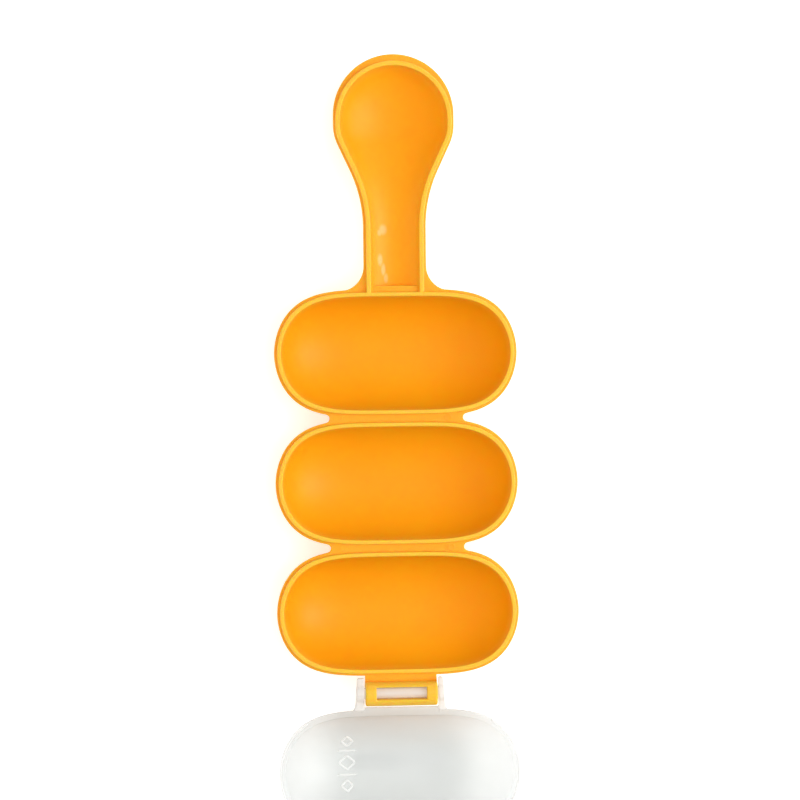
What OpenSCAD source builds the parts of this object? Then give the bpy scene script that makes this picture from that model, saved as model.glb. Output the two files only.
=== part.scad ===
// Rice ball shaker mould: three long hollows side by side in an opaque base with
// a spoon-shaped handle, and a translucent lid with three matching domes.
// The lid lies open, turned half a turn about the hinge at the end of the base.
// Millimetres, +Z up, the part stands on z = 0, +Y points to the spoon's tip.

/* [Hollows] */
// Half length of each hollow at its rim
hollow_a = 31.1; // [29:0.05:32]
// Half width of each hollow at its rim, and its depth
hollow_b = 15.4; // [15:0.05:15.6]
// Distance from one hollow to the next
pitch = 35.3; // [35.1:0.05:36]
// Fullness of the outline's long sides: 2 is an ellipse
fullness = 4.5; // [4:0.1:4.8]
// Fullness of its ends: 2 is an ellipse
roundness = 1.9; // [1.85:0.05:2]
// Width of the raised lip, and the wall's thickness
wall = 1.1; // [0.9:0.05:1.15]
// How far the ledge reaches out from the hollow's edge
ledge_out = 1.9; // [1.85:0.05:2.1]
// How far the ledge lies below the lip
ledge_drop = 1.5; // [1.2:0.1:1.8]
// Thickness of the ledge and the webs
plate_t = 1.2; // [1:0.1:1.5]
// Depth of the small flat under each hollow
flat_cut = 0.2; // [0.1:0.05:0.3]
// Half width of the webs at their narrowest
web_half = 18.1; // [16:0.1:20]

/* [Spoon] */
// Distance from the middle hollow to the centre of the spoon's bowl
spoon_y = 98.4; // [96:0.1:101]
// Radius of the bowl's inner edge
spoon_r = 14.5; // [13.5:0.1:15]
// Half width of the neck's channel
neck_w = 6.55; // [6:0.05:7]
// Width of the spoon's lip
spoon_lip = 1.25; // [1:0.05:1.5]
// Depth of bowl and channel as a share of their half width
spoon_depth = 0.65; // [0.5:0.05:0.8]
// Distance from the middle hollow to the channel's end wall
channel_end = 53.7; // [53.4:0.1:55]
// Radius of the fillets between neck and flange
flare_r = 6.75; // [5:0.25:7]

/* [Hinge] */
// Distance from the middle hollow to the hinge axis
hinge_y = 57.1; // [56.9:0.05:57.5]
// Radius of the base's hinge barrel
barrel_r = 3; // [2.8:0.1:3.1]
// Flat between the two rounds of the barrel's section, away from the base
barrel_long = 0.5; // [0.1:0.05:0.5]
// Half width of the barrel
barrel_half = 9.85; // [9:0.05:9.9]
// How far the barrel sits to the right of the middle
lug_x = 0.5; // [0:0.05:0.5]
// Radius of the lid's hinge rod
rod_r = 1.5; // [1.35:0.05:1.5]
// Radial clearance between the rod and its seat
rod_gap = 0.08; // [0.05:0.01:0.1]
// Half length of the window in the barrel
window_half = 6.85; // [6:0.05:7.5]
// Half width of the window in the barrel
window_w = 1.65; // [1.5:0.05:1.8]
// How far the window's middle lies from the axis, towards the lid
window_shift = -0.15; // [-0.2:0.05:0.3]
// Width of the slot that the rod snaps in by
snap_slot = 2.3; // [2.1:0.1:2.4]
// Outer face of the lid's ears at their tips
ear_out = 11.55; // [11.4:0.05:12]
// Reach of the ears' tips past the axis
ear_tip = 4.25; // [4:0.05:4.3]

/* [Lid] */
// Clearance between the lid's skirt and the base's lip
skirt_gap = 0.12; // [0.1:0.01:0.14]
// Thickness of the skirt
skirt_t = 0.5; // [0.45:0.05:0.6]
// Thickness of the lid's flange and webs
flange_t = 1; // [0.8:0.1:1.2]
// Half width of the closing tongue
tongue_half = 5.8; // [5:0.1:5.9]
// How far the tongue reaches down into the channel
tongue_drop = 3; // [2.4:0.1:3.1]

/* [Hidden] */
Q = 14;                       // outline steps in each quarter
seat = 0.05;                  // half the gap between the closed faces
zc = hollow_b + wall - flat_cut;   // height of the lips, the hinge and the hollows' axes
zr = zc - ledge_drop;         // top of the ledge
hollow_ys = [pitch, 0, -pitch];
skirt_in = wall + skirt_gap;
skirt_out = skirt_in + skirt_t;
// spoon outline
slope = 25;                   // angle of the shoulders
shoulder_x = 4.3;             // centre of the shoulder arcs
shoulder_y = spoon_y - 1.5;
sweep_r = 36.5;               // long concave arc into the neck
ledge_r = spoon_r + spoon_lip + 0.6;   // the ledge is a larger circle set towards the tip
ledge_y = spoon_y + 1.3;
tip_y = ledge_y + ledge_r;
// tongue
tongue_y0 = channel_end + 0.2;
tongue_t = 1.2;
lid_end_y = -hinge_y - (tongue_y0 + tongue_t + hinge_y);
y_mid = (tip_y + lid_end_y) / 2;   // brings the origin to the middle of the open part

function se(a, b, t) = [
    a * sign(cos(t)) * pow(abs(cos(t)), 2 / fullness),
    b * sign(sin(t)) * pow(abs(sin(t)), 2 / roundness)];
function outline(d) = [for (i = [0 : 4 * Q - 1]) se(hollow_a + d, hollow_b + d, i * 90 / Q)];
// half outline turned on its side for a revolve: radius first, length second
function half_outline(d) = [for (i = [0 : 2 * Q])
    let (p = se(hollow_a + d, hollow_b + d, i * 90 / Q))
    [i == 0 || i == 2 * Q ? 0 : p[1], p[0]]];

// right side of the spoon's outline from its tip down to y1
function spoon_side(cy, r, rs, w, y1, n = 9) =
    let (px = shoulder_x + rs * cos(slope), py = shoulder_y - rs * sin(slope),
         s = (px - w) / sin(slope), tl = sweep_r * tan(slope / 2),
         yk = py - s * cos(slope) - tl)
    concat(
        [for (i = [0 : n]) [r * sin(i * 90 / n), cy + r * cos(i * 90 / n)]],
        [for (i = [0 : 3]) let (a = i * slope / 3)
            [shoulder_x + rs * cos(a), shoulder_y - rs * sin(a)]],
        [for (i = [0 : 4]) let (a = slope - i * slope / 4)
            [w + sweep_r * (1 - cos(a)), yk + sweep_r * sin(a)]],
        [[w, y1]]);
function mirrored(p) = concat(p, [for (i = [len(p) - 1 : -1 : 0]) if (p[i][0] > 1e-6) [-p[i][0], p[i][1]]]);

module hollow_prism(d, z0, z1)
    for (y = hollow_ys) translate([0, y, z0]) linear_extrude(z1 - z0) polygon(outline(d));

// one long round-ended body of revolution about X
module hollow_body(d) rotate([0, 90, 0]) rotate_extrude($fn = 96) polygon(half_outline(d));

// the lower half of it, with its small flat
module bowl_half(d, top)
    intersection() {
        hollow_body(d);
        translate([-60, -40, -(hollow_b + wall - flat_cut)]) cube([120, 80, hollow_b + wall - flat_cut + top]);
    }

// flat plate between two hollows, with a round notch at each end
module web(z0, z1, half)
    for (y = [pitch / 2, -pitch / 2]) difference() {
        translate([-half - 1.2, y - 3, z0]) cube([2 * half + 2.4, 6, z1 - z0]);
        for (s = [-1, 1]) translate([s * (half + 1.2), y, z0 - 1]) cylinder(r = 1.2, h = z1 - z0 + 2, $fn = 48);
    }

module spoon_prism(cy, r, rs, w, y1, z0, z1)
    translate([0, 0, z0]) linear_extrude(z1 - z0) polygon(mirrored(spoon_side(cy, r, rs, w, y1)));

// the spoon's outline turned about its long axis and flattened
module spoon_body(cy, r, rs, w, y1, k)
    scale([1, 1, k]) rotate([-90, 0, 0])
        rotate_extrude($fn = 96) polygon(concat(spoon_side(cy, r, rs, w, y1), [[0, y1]]));

module flare(z0, z1)
    difference() {
        translate([-neck_w - spoon_lip - 0.7 - flare_r, 50, z0])
            cube([2 * (neck_w + spoon_lip + 0.7 + flare_r), pitch + hollow_b + ledge_out - 0.5 + flare_r - 50, z1 - z0]);
        for (s = [-1, 1]) translate([s * (neck_w + spoon_lip + 0.7 + flare_r), pitch + hollow_b + ledge_out - 0.46 + flare_r, z0 - 1])
            cylinder(r = flare_r, h = z1 - z0 + 2, $fn = 64);
    }

// the barrel's section: two rounds a little apart
function barrel_section(n = 20) = concat(
    [for (i = [0 : n]) let (a = 180 * i / n - 90) [barrel_r * cos(a), barrel_r * sin(a)]],
    [for (i = [0 : n]) let (a = 180 * i / n + 90) [barrel_r * cos(a) - barrel_long, barrel_r * sin(a)]]);

module base() color("orange") translate([0, -y_mid, zc]) {
    lip = -seat;
    ledge = -ledge_drop;
    difference() {
        union() {
            // ledge, webs, flange and the spoon's ledge
            hollow_prism(ledge_out, ledge - plate_t, ledge);
            web(ledge - plate_t, ledge, web_half);
            flare(ledge - plate_t, ledge);
            spoon_prism(ledge_y, ledge_r, ledge_r - shoulder_x, neck_w + spoon_lip + 0.7, 50, ledge - plate_t, ledge);
            // walls of the hollows up to the lips
            for (y = hollow_ys) translate([0, y, 0]) bowl_half(wall, lip);
            // underside and lip of the spoon
            difference() {
                union() {
                    intersection() {
                        spoon_body(spoon_y, spoon_r + spoon_lip, spoon_r + spoon_lip - shoulder_x, neck_w + spoon_lip, 49, spoon_depth + 0.05);
                        translate([-40, 40, -30]) cube([80, 90, 30 + ledge]);
                    }
                    spoon_prism(spoon_y, spoon_r + spoon_lip, spoon_r + spoon_lip - shoulder_x, neck_w + spoon_lip, 50, ledge - 0.2, lip);
                }
                // flat bottom of the flange between the rails
                translate([-neck_w, pitch + hollow_b + 0.3, ledge]) cube([2 * neck_w, channel_end + 5 - pitch - hollow_b - 0.3, 4]);
            }
            // hinge barrel and the throat that carries it
            translate([lug_x - barrel_half, -hinge_y, 0]) rotate([90, 0, 90]) linear_extrude(2 * barrel_half) polygon(barrel_section());
            translate([lug_x - barrel_half, -hinge_y, ledge - plate_t]) cube([2 * barrel_half, hinge_y - pitch - hollow_b - 0.5, plate_t]);
        }
        // the three hollows
        for (y = hollow_ys) translate([0, y, 0]) hollow_body(0);
        // bowl and channel of the spoon
        spoon_body(spoon_y, spoon_r, spoon_r - shoulder_x, neck_w, channel_end, spoon_depth);
        // seat of the hinge rod, open below to snap the rod in
        translate([lug_x - barrel_half - 1, -hinge_y, 0]) rotate([0, 90, 0]) cylinder(r = rod_r + rod_gap, h = 2 * barrel_half + 2, $fn = 64);
        translate([lug_x - barrel_half - 1, -hinge_y - snap_slot / 2, -barrel_r - 1]) cube([2 * barrel_half + 2, snap_slot, barrel_r + 1]);
        // window over the rod
        translate([lug_x - window_half, -hinge_y - window_shift - window_w, -0.5]) cube([2 * window_half, 2 * window_w, barrel_r + 2]);
    }
}

// the lid as it lies when closed, about the same axes as the base
module lid_closed() {
    sole = seat;
    difference() {
        union() {
            // domes
            for (y = hollow_ys) translate([0, y, 0]) mirror([0, 0, 1]) bowl_half(wall, -sole);
            // flange, webs and the strip between the ears
            hollow_prism(skirt_out, sole, sole + flange_t);
            web(sole, sole + flange_t, web_half - 0.2);
            translate([lug_x - barrel_half - 1, -hinge_y + barrel_r + barrel_long + 0.4, sole]) cube([2 * barrel_half + 2, 2.6, flange_t]);
            // skirt round the lips, left out beside the hinge and over the spoon's rails
            difference() {
                hollow_prism(skirt_out, -ledge_drop + seat, sole + 0.2);
                hollow_prism(skirt_in, -ledge_drop - 1, sole + 2);
                translate([-24, -hinge_y - 1, -5]) cube([48, 14, 5 + sole]);
                translate([-neck_w - spoon_lip - 0.35, pitch + 10, -5]) cube([2 * (neck_w + spoon_lip + 0.35), 10, 5 + sole]);
            }
            // ears, one at each end of the barrel
            for (s = [0, 1]) mirror([s, 0, 0]) let (k = barrel_half + 0.25 + (1 - 2 * s) * lug_x, e = ear_out + (1 - 2 * s) * 0.15) intersection() {
                translate([0, -hinge_y, -6]) linear_extrude(12) polygon([
                    [k, -ear_tip], [k, 5.4],
                    [e + 1.7, 5.4], [e + 0.8, 3.9], [e + 0.5, 2],
                    [e + 0.15, -ear_tip + 0.6], [e, -ear_tip]]);
                translate([0, -hinge_y, 0]) rotate([90, 0, 90]) linear_extrude(20) union() {
                    circle(r = 2.45, $fn = 48);
                    translate([-ear_tip, -1.15]) square([ear_tip + 4.5, 1.15 + sole + flange_t]);
                    translate([0, sole]) square([5.2, flange_t]);
                }
            }
            // hinge rod
            translate([lug_x - barrel_half - 0.6, -hinge_y, 0]) rotate([0, 90, 0]) cylinder(r = rod_r, h = 2 * barrel_half + 1.2, $fn = 48);
            // closing tongue
            translate([-tongue_half, pitch + hollow_b + 0.5, sole]) cube([2 * tongue_half, tongue_y0 + tongue_t - pitch - hollow_b - 0.5, flange_t]);
            translate([0, tongue_y0 + tongue_t, 0]) rotate([90, 0, 0]) linear_extrude(tongue_t) polygon([
                [-tongue_half, sole + 0.2], [-tongue_half, -1.2], [2 - tongue_half, -tongue_drop],
                [tongue_half - 2, -tongue_drop], [tongue_half, -1.2], [tongue_half, sole + 0.2]]);
        }
        for (y = hollow_ys) translate([0, y, 0]) hollow_body(0);
    }
}

// the lid as it lies open
module lid() color("gainsboro") translate([0, -y_mid, zc])
    translate([0, -2 * hinge_y, 0]) rotate([180, 0, 0]) lid_closed();

base();
lid();
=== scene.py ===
import bpy, bmesh, math
import numpy as np
from mathutils import Vector, Matrix
from mathutils.geometry import delaunay_2d_cdt
from mathutils.kdtree import KDTree


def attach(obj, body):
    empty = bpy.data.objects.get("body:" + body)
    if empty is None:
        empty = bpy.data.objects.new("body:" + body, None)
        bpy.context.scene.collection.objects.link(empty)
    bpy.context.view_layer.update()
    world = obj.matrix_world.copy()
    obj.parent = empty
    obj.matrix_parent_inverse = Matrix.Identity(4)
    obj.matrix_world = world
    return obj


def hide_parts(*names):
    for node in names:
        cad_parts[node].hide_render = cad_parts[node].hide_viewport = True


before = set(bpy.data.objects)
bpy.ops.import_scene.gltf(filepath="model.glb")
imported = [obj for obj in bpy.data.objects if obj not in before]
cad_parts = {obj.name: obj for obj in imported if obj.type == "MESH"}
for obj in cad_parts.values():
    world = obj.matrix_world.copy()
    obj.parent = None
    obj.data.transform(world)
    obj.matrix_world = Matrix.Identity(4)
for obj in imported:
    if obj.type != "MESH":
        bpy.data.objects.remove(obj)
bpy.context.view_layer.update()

# ---------------------------------------------------------------- dimensions
# millimetres about the centre of the middle hollow, z = 0 at the hinge axis
MM = 0.001
Y_SHIFT = 26.625            # to the row frame
Z_SHIFT = 16.3
A, B, PITCH = 31.1, 15.4, 35.3
FULL, ROUND = 4.5, 1.9      # fullness of the outline's long sides and of its ends
WALL = 1.1
LEDGE_OUT, LEDGE_Z, PLATE_Z = 1.9, -1.5, -2.7
LIP_Z = -0.05
FLAT_Z = -16.3
WEB_HALF = 18.1
SPOON_Y, SPOON_R, NECK_W, SPOON_LIP = 98.4, 14.5, 6.55, 1.25
K_IN, K_OUT = 0.65, 0.70
CHANNEL_END = 53.7
SHOULDER_X, SHOULDER_Y = 4.3, 96.9
SLOPE = math.radians(25)
SWEEP_R = 36.5
LEDGE_R, LEDGE_Y = 16.35, 99.7
FLARE_R = 6.75
HINGE_Y = -57.1
BARREL_R, BARREL_HALF = 3.0, 9.85
BARREL_LONG, LUG_X = 0.5, 0.5
ROD_R, SEAT_R = 1.5, 1.58
WINDOW_HALF, WINDOW_W, WINDOW_SHIFT, SLOT = 6.85, 1.65, -0.15, 2.3
SKIRT_IN, SKIRT_OUT = 1.22, 1.72
FLANGE_T = 1.0
HOLLOWS = (PITCH, 0.0, -PITCH)
RIM = 232                   # points round each rim
# rubbed marks, glossier and also painted paler as a painted highlight: place and half size
RUBBED_MARKS_AND_GLINTS = ((-3.0, 68.8, 1.4, 1.9), (-4.0, 68.0, 0.8, 1.2), (-3.9, 60.6, 0.9, 2.2), (-3.0, 58.0, 0.8, 2.2), (-2.3, 55.7, 0.8, 1.7))
# pin marks on the webs: place and half size
PINS = ((13.8, 17.6, 1.3, 1.2), (13.4, -17.6, 1.3, 1.2))


# ---------------------------------------------------------------- mesh tools
def new_object(name, verts, faces):
    me = bpy.data.meshes.new(name)
    me.from_pydata([tuple(v) for v in verts], [], [tuple(f) for f in faces])
    me.validate()
    me.update()
    ob = bpy.data.objects.new(name, me)
    bpy.context.scene.collection.objects.link(ob)
    return ob


def tidy(ob, dist=1e-4):
    bm = bmesh.new()
    bm.from_mesh(ob.data)
    bmesh.ops.remove_doubles(bm, verts=bm.verts, dist=dist)
    bmesh.ops.dissolve_degenerate(bm, edges=bm.edges, dist=dist)
    bmesh.ops.recalc_face_normals(bm, faces=bm.faces)
    bm.to_mesh(ob.data)
    bm.free()
    ob.data.update()
    return ob


def ring_stack(name, rings, first_pole=None, last_pole=None, closed=True):
    """Closed body through a stack of rings with the same number of points."""
    n = len(rings[0])
    verts = np.concatenate(rings)
    faces = []
    for k in range(len(rings) - 1):
        a, b = k * n, (k + 1) * n
        for i in range(n if closed else n - 1):
            j = (i + 1) % n
            faces.append((a + i, a + j, b + j, b + i))
    verts = list(verts)
    if first_pole is not None:
        verts.append(np.array(first_pole, float))
        p = len(verts) - 1
        for i in range(n):
            faces.append((p, (i + 1) % n, i))
    if last_pole is not None:
        verts.append(np.array(last_pole, float))
        p = len(verts) - 1
        a = (len(rings) - 1) * n
        for i in range(n):
            faces.append((p, a + i, a + (i + 1) % n))
    return tidy(new_object(name, verts, faces))


def moved(points, dx=0.0, dy=0.0, dz=0.0):
    return np.asarray(points, float) + np.array([dx, dy, dz])


def union(name, parts):
    """One clean solid out of overlapping closed ones."""
    first = parts[0]
    for i, p in enumerate(parts[1:]):
        m = first.modifiers.new("u%d" % i, "BOOLEAN")
        m.operation = "UNION"
        m.solver = "MANIFOLD"
        m.object = p
    bpy.context.view_layer.update()
    deps = bpy.context.evaluated_depsgraph_get()
    me = bpy.data.meshes.new_from_object(first.evaluated_get(deps))
    ob = bpy.data.objects.new(name, me)
    bpy.context.scene.collection.objects.link(ob)
    for p in parts:
        old = p.data
        bpy.data.objects.remove(p)
        bpy.data.meshes.remove(old)
    return ob


# ---------------------------------------------------------------- rim outline
def curve(c, s):
    return np.sign(c) * np.abs(c) ** (2 / FULL), np.sign(s) * np.abs(s) ** (2 / ROUND)


def unit_outline(count):
    t = np.linspace(0, 2 * math.pi, 40001)
    c, s = np.cos(t), np.sin(t)
    ux, uy = curve(c, s)
    x, y = ux * (A + 0.6), uy * (B + 0.6)
    length = np.concatenate([[0], np.cumsum(np.hypot(np.diff(x), np.diff(y)))])
    # even spacing, a little denser where the outline turns
    heading = np.unwrap(np.arctan2(np.diff(y), np.diff(x)))
    turn = np.concatenate([[0], np.cumsum(np.abs(np.diff(heading, prepend=heading[0])))])
    measure = length / length[-1] + 0.6 * turn / turn[-1]
    want = np.linspace(0, measure[-1], count, endpoint=False)
    tt = np.interp(want, measure, t)
    c, s = np.cos(tt), np.sin(tt)
    return np.c_[curve(c, s)]


U = unit_outline(RIM)


def rim(d, z, y=0.0, units=None):
    u = U if units is None else units
    return np.c_[u[:, 0] * (A + d), u[:, 1] * (B + d) + y, np.full(len(u), float(z))]


def level(d, z, y=0.0):
    """Ring of the round-ended body of revolution at depth z."""
    a, b = A + d, B + d
    cx, cy = np.abs(U[:, 0]), np.abs(U[:, 1])
    lo, hi = np.zeros(len(U)), np.ones(len(U))
    for _ in range(46):
        m = (lo + hi) / 2
        f = b * b * np.maximum(1 - (m * cx) ** FULL, 0) ** (2 / ROUND) - (m * b * cy) ** 2 - z * z
        lo = np.where(f > 0, m, lo)
        hi = np.where(f > 0, hi, m)
    return np.c_[U[:, 0] * a * lo, U[:, 1] * b * lo + y, np.full(len(U), float(z))]


INNER_FILLET = [(0.012, -0.30), (0.045, -0.20), (0.10, -0.125), (0.18, -0.075), (0.27, -0.053), (0.36, -0.05)]


def inner_rings(y, sag=0.0):
    rings = []
    for deg in list(np.linspace(88.6, 8, 30)) + [5.6, 3.6, 2.2, 1.55]:
        rings.append(level(0, -B * math.sin(math.radians(deg)), y))
    return rings


def outer_rings(y, z0, count=24):
    p0 = math.degrees(math.asin(-z0 / (B + WALL)))
    p1 = math.degrees(math.asin(-FLAT_Z / (B + WALL)))
    return [level(WALL, -(B + WALL) * math.sin(math.radians(p)), y) for p in np.linspace(p0, p1, count)]


def base_cup(y):
    rings = inner_rings(y)
    rings += [rim(d, z, y) for d, z in INNER_FILLET]
    rings += [rim(d, z, y) for d, z in [
        (0.55, -0.05), (0.72, -0.05), (0.83, -0.056), (0.93, -0.08), (1.01, -0.125), (1.065, -0.20),
        (1.095, -0.30), (1.10, -0.42), (1.10, -0.85), (1.10, -1.22), (1.115, -1.33), (1.16, -1.42),
        (1.23, -1.475), (1.33, -1.503), (1.38, -1.53), (1.36, -1.75)]]
    rings += outer_rings(y, -2.3)
    return ring_stack("cup", rings, (0, y, -B), (0, y, FLAT_Z))


# ---------------------------------------------------------------- flat plates
def loops_of(field, lo, hi, h):
    """Closed zero lines of a 2-D field, inside on the left."""
    xs = np.arange(lo[0], hi[0] + h, h)
    ys = np.arange(lo[1], hi[1] + h, h)
    X, Y = np.meshgrid(xs, ys, indexing="ij")
    F = field(X, Y)
    ins = F < 0
    nxt = {}

    def cut(i, j, k, l):
        a, b = F[i, j], F[k, l]
        t = a / (a - b)
        return (xs[i] + t * (xs[k] - xs[i]), ys[j] + t * (ys[l] - ys[j]))

    mixed = ins[:-1, :-1].astype(int) + ins[1:, :-1] + ins[1:, 1:] + ins[:-1, 1:]
    points = {}
    for i, j in np.argwhere((mixed > 0) & (mixed < 4)):
        corners = [(i, j), (i + 1, j), (i + 1, j + 1), (i, j + 1)]
        inside = [bool(ins[c]) for c in corners]
        leave, enter = [], []
        for q in range(4):
            c0, c1 = corners[q], corners[(q + 1) % 4]
            if inside[q] != inside[(q + 1) % 4]:
                key = tuple(sorted([c0, c1]))
                if key not in points:
                    points[key] = cut(*key[0], *key[1])
                (leave if inside[q] else enter).append((q, key))
        for q, key in leave:
            other = min(enter, key=lambda e: (e[0] - q) % 4)[1]
            nxt[key] = other
    out, seen = [], set()
    for start in nxt:
        if start in seen:
            continue
        loop, cur = [], start
        while cur not in seen:
            seen.add(cur)
            loop.append(points[cur])
            cur = nxt[cur]
        out.append(np.array(loop))
    result = []
    for p in out:
        x, y = p[:, 0], p[:, 1]
        area = 0.5 * np.sum(x * np.roll(y, -1) - y * np.roll(x, -1))
        result.append(p if area > 0 else p[::-1])
    return sorted(result, key=len, reverse=True)


def even(p, step):
    """Closed loop with even steps."""
    q = np.vstack([p, p[:1]])
    s = np.concatenate([[0], np.cumsum(np.hypot(*np.diff(q, axis=0).T))])
    n = max(16, int(round(s[-1] / step)))
    w = np.linspace(0, s[-1], n, endpoint=False)
    return np.c_[np.interp(w, s, q[:, 0]), np.interp(w, s, q[:, 1])]


def settle(p, field, rounds=3):
    """Moves points of a loop onto the field's zero line."""
    e = 1e-3
    for _ in range(rounds):
        f = field(p[:, 0], p[:, 1])
        gx = (field(p[:, 0] + e, p[:, 1]) - field(p[:, 0] - e, p[:, 1])) / (2 * e)
        gy = (field(p[:, 0], p[:, 1] + e) - field(p[:, 0], p[:, 1] - e)) / (2 * e)
        g2 = np.maximum(gx * gx + gy * gy, 1e-6)
        step = np.clip(f / g2, -0.3, 0.3)
        p = p - np.c_[gx * step, gy * step]
    return p


def loop_normals(p):
    t = np.roll(p, -1, 0) - np.roll(p, 1, 0)
    n = np.c_[t[:, 1], -t[:, 0]]
    n /= np.linalg.norm(n, axis=1)[:, None]
    for _ in range(2):
        n = n + 0.5 * (np.roll(n, 1, 0) + np.roll(n, -1, 0))
        n /= np.linalg.norm(n, axis=1)[:, None]
    return n


def in_loop(px, py, loop):
    inside = np.zeros(len(px), bool)
    x0, y0 = loop[:, 0], loop[:, 1]
    x1, y1 = np.roll(x0, -1), np.roll(y0, -1)
    for a, b, c, d in zip(x0, y0, x1, y1):
        if b == d:
            continue
        hit = ((b > py) != (d > py)) & (px < (c - a) * (py - b) / (d - b) + a)
        inside ^= hit
    return inside


def plate(name, outer, holes, profile):
    """Flat plate with an edge profile of (inset, z) from its top to its underside and plain holes."""
    nrm = loop_normals(outer)
    n = len(outer)
    verts, faces = [], []
    for inset, z in profile:
        q = outer - nrm * inset
        verts += [(x, y, z) for x, y in q]
    rows = len(profile)
    for k in range(rows - 1):
        for i in range(n):
            j = (i + 1) % n
            faces.append((k * n + i, (k + 1) * n + i, (k + 1) * n + j, k * n + j))
    top_z, low_z = profile[0][1], profile[-1][1]
    hole_top, hole_low = [], []
    for h in holes:
        hole_top.append(len(verts))
        verts += [(x, y, top_z) for x, y in h]
        hole_low.append(len(verts))
        verts += [(x, y, low_z) for x, y in h]
        a, b, m = hole_top[-1], hole_low[-1], len(h)
        for i in range(m):
            j = (i + 1) % m
            faces.append((a + i, a + j, b + j, b + i))
    for level_index, inset, starts, flip in ((0, profile[0][0], hole_top, False), (rows - 1, profile[-1][0], hole_low, True)):
        edge = outer - nrm * inset
        index = list(range(level_index * n, level_index * n + n))
        coords = [Vector(p) for p in edge]
        edges = [(i, (i + 1) % n) for i in range(n)]
        for h, a in zip(holes, starts):
            o = len(coords)
            coords += [Vector(p) for p in h]
            index += list(range(a, a + len(h)))
            edges += [(o + i, o + (i + 1) % len(h)) for i in range(len(h))]
        vs, es, fs, ov, oe, of_ = delaunay_2d_cdt(coords, edges, [], 0, 1e-7)
        fa = np.array([f for f in fs if len(f) == 3])
        vc = np.array([tuple(v) for v in vs])
        cen = vc[fa].mean(1)
        keep = in_loop(cen[:, 0], cen[:, 1], edge)
        for h in holes:
            keep &= ~in_loop(cen[:, 0], cen[:, 1], h)
        for f in fa[keep]:
            g = [index[ov[v][0]] for v in f]
            faces.append(tuple(g[::-1]) if flip else tuple(g))
    return tidy(new_object(name, verts, faces), 1e-5)


def smin(a, b, k):
    h = np.maximum(k - np.abs(a - b), 0) / k
    return np.minimum(a, b) - h * h * k * 0.25


def smax(a, b, k):
    return -smin(-a, -b, k)


def rim_field(x, y, yc, d):
    a, b = A + d, B + d
    u, v = np.abs(x) / a, np.abs(y - yc) / b
    gx = FULL * u ** (FULL - 1) / a
    gy = ROUND * v ** (ROUND - 1) / b
    return (u ** FULL + v ** ROUND - 1) / np.maximum(np.hypot(gx, gy), 0.02)


def box2(x, y, cx, cy, hx, hy):
    qx, qy = np.abs(x - cx) - hx, np.abs(y - cy) - hy
    return np.hypot(np.maximum(qx, 0), np.maximum(qy, 0)) + np.minimum(np.maximum(qx, qy), 0)


def side_curve(cy, r, rs, w):
    """Half width of the spoon's outline as numbers of y, below the tip circle's centre."""
    px, py = SHOULDER_X + rs * math.cos(SLOPE), SHOULDER_Y - rs * math.sin(SLOPE)
    s = (px - w) / math.sin(SLOPE)
    tl = SWEEP_R * math.tan(SLOPE / 2)
    yk = py - s * math.cos(SLOPE) - tl
    ys, xs = [-200.0, yk], [w, w]
    for a in np.linspace(0, SLOPE, 40)[1:]:
        xs.append(w + SWEEP_R * (1 - math.cos(a)))
        ys.append(yk + SWEEP_R * math.sin(a))
    for q in np.linspace(0, 1, 12)[1:]:
        x0, y0 = w + SWEEP_R * (1 - math.cos(SLOPE)), yk + SWEEP_R * math.sin(SLOPE)
        xs.append(x0 + q * (px - x0))
        ys.append(y0 + q * (py - y0))
    for a in np.linspace(SLOPE, 0, 30)[1:]:
        xs.append(SHOULDER_X + rs * math.cos(a))
        ys.append(SHOULDER_Y - rs * math.sin(a))
    if cy > ys[-1]:
        xs.append(r)
        ys.append(cy)
    return np.array(ys), np.array(xs)


LEDGE_CURVE = side_curve(LEDGE_Y, LEDGE_R, LEDGE_R - SHOULDER_X, NECK_W + SPOON_LIP + 0.7)
INNER_CURVE = side_curve(SPOON_Y, SPOON_R, SPOON_R - SHOULDER_X, NECK_W)


def spoon_field(x, y):
    w = np.interp(y, *LEDGE_CURVE)
    e = 0.05
    dw = (np.interp(y + e, *LEDGE_CURVE) - np.interp(y - e, *LEDGE_CURVE)) / (2 * e)
    side = (np.abs(x) - w) / np.sqrt(1 + dw * dw)
    tip = np.hypot(x, y - LEDGE_Y) - LEDGE_R
    f = np.where(y > LEDGE_Y, tip, side)
    return np.maximum(f, 48 - y)


def web_field(x, y, half):
    f = np.full(np.shape(x), 1e3)
    for yc in (PITCH / 2, -PITCH / 2):
        bar = box2(x, y, 0, yc, half + 1.2, 3.0)
        for s in (-1, 1):
            bar = np.maximum(bar, 1.2 - np.hypot(x - s * (half + 1.2), y - yc))
        f = np.minimum(f, bar)
    return f


def base_field(x, y):
    f = web_field(x, y, WEB_HALF)
    for yc in HOLLOWS:
        f = np.minimum(f, rim_field(x, y, yc, LEDGE_OUT))
    f = np.minimum(f, spoon_field(x, y))
    edge = NECK_W + SPOON_LIP + 0.7
    yf = PITCH + B + LEDGE_OUT - 0.46 + FLARE_R
    fl = box2(x, y, 0, (48 + yf) / 2, edge + FLARE_R, (yf - 48) / 2)
    for s in (-1, 1):
        fl = np.maximum(fl, FLARE_R - np.hypot(x - s * (edge + FLARE_R), y - yf))
    return np.minimum(f, fl)


def lid_field(x, y):
    f = web_field(x, y, WEB_HALF - 0.2)
    for yc in HOLLOWS:
        f = np.minimum(f, rim_field(x, y, yc, SKIRT_OUT - 0.01))
    return f


def contour(field, lo, hi, step):
    p = even(loops_of(field, lo, hi, 0.3)[0], step)
    p = settle(p, field)
    p = even(p, step)
    for _ in range(2):
        p = p + 0.25 * (np.roll(p, 1, 0) + np.roll(p, -1, 0) - 2 * p)
    return p


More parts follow.
